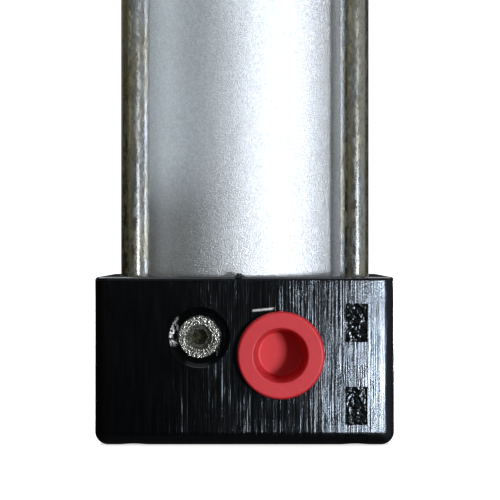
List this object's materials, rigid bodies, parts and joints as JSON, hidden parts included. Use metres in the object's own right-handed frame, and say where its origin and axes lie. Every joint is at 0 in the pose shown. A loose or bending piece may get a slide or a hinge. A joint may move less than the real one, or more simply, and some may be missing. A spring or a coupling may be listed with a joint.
{
  "type": "pneumatic cylinder",
  "caption": "Tie-rod pneumatic cylinder with square end caps, round barrel, plugged side ports, cushion needles and a threaded piston rod.",
  "frame": {"origin": "centre of the rear cap's end face, in the mouth of its centring recess", "axes": "+Z along the piston rod, from the rear cap to the threaded end; both ports face -Y; +X completes the frame"},
  "size_m": [0.05, 0.0517, 0.243],
  "materials": {
    "black_paint": "glossy black paint over a coarsely sanded aluminium casting",
    "anodised_aluminium": "satin, fine-grained clear anodising",
    "zinc_plated_steel": "bright zinc plate with mottled yellowish passivation",
    "guide_steel": "rough turned steel, scuffed",
    "needle_steel": "turned steel with an oily socket",
    "red_plastic": "soft moulded polyethylene, matte",
    "hard_chrome": "ground and hard chromed",
    "seal_rubber": "smooth nitrile rubber",
    "bush_bronze": "sintered bronze",
    "piston_aluminium": "turned aluminium",
    "bonded_ferrite": "dark bonded ferrite",
    "wear_ring_plastic": "filled plastic, off-white"
  },
  "bodies": {
    "housing": {"rear_cap": "black_paint", "front_cap": "black_paint", "barrel": "anodised_aluminium", "tie_rod_port_side_left": "zinc_plated_steel", "tie_rod_port_side_right": "zinc_plated_steel", "tie_rod_back_left": "zinc_plated_steel", "tie_rod_back_right": "zinc_plated_steel", "rear_tie_rod_nuts": "zinc_plated_steel", "front_tie_rod_nuts": "zinc_plated_steel", "rear_barrel_o_ring": "seal_rubber", "front_barrel_o_ring": "seal_rubber", "rear_cushion_seal": "seal_rubber", "front_cushion_seal": "seal_rubber", "rear_needle_guide": "guide_steel", "front_needle_guide": "guide_steel", "rod_bush": "bush_bronze", "rod_wiper_seal": "seal_rubber"},
    "piston_carriage": {"piston_wear_ring": "wear_ring_plastic", "piston_rear_seal": "seal_rubber", "piston_front_seal": "seal_rubber"},
    "piston_rod": {"piston_rod": "hard_chrome", "piston_rear_half": "piston_aluminium", "piston_front_half": "piston_aluminium", "piston_magnet": "bonded_ferrite", "piston_o_ring": "seal_rubber", "rear_cushion_plunger": "piston_aluminium", "front_cushion_sleeve": "piston_aluminium"},
    "lock_nut": {"rod_lock_nut": "zinc_plated_steel"},
    "rear_needle_seal": {"rear_needle_o_ring": "seal_rubber"},
    "rear_needle": {"rear_cushion_needle": "needle_steel"},
    "rear_plug": {"rear_port_plug": "red_plastic"},
    "front_needle_seal": {"front_needle_o_ring": "seal_rubber"},
    "front_needle": {"front_cushion_needle": "needle_steel"},
    "front_plug": {"front_port_plug": "red_plastic"}
  },
  "joints": [
    {"name": "rod_slide", "type": "slide", "parent": "housing", "child": "piston_carriage", "axis": [0, 0, 1], "range_m": [0, 0.1]},
    {"name": "rod_turn", "type": "hinge", "parent": "piston_carriage", "child": "piston_rod", "pos_m": [0, 0, 0.047], "axis": [0, 0, 1], "continuous": true},
    {"name": "lock_nut_turn", "type": "hinge", "parent": "piston_rod", "child": "lock_nut", "pos_m": [0, 0, 0.2241], "axis": [0, 0, 1], "continuous": true},
    {"name": "rear_needle_travel", "type": "slide", "parent": "housing", "child": "rear_needle_seal", "axis": [0, -1, 0], "range_m": [-0.0005, 0.0006]},
    {"name": "rear_needle_turn", "type": "hinge", "parent": "rear_needle_seal", "child": "rear_needle", "pos_m": [-0.0075, -0.025, 0.018], "axis": [0, -1, 0], "range_deg": [-362, 434]},
    {"name": "front_needle_travel", "type": "slide", "parent": "housing", "child": "front_needle_seal", "axis": [0, -1, 0], "range_m": [-0.0005, 0.0006]},
    {"name": "front_needle_turn", "type": "hinge", "parent": "front_needle_seal", "child": "front_needle", "pos_m": [-0.0075, -0.025, 0.176], "axis": [0, -1, 0], "range_deg": [-362, 434]},
    {"name": "rear_plug_pull", "type": "slide", "parent": "housing", "child": "rear_plug", "axis": [0, -1, 0], "range_m": [0, 0.05]},
    {"name": "front_plug_pull", "type": "slide", "parent": "housing", "child": "front_plug", "axis": [0, -1, 0], "range_m": [0, 0.05]}
  ],
  "couplings": [
    {"joint": "rear_needle_turn", "follows": "rear_needle_travel", "rad_per_m": 12566},
    {"joint": "front_needle_turn", "follows": "front_needle_travel", "rad_per_m": 12566}
  ]
}
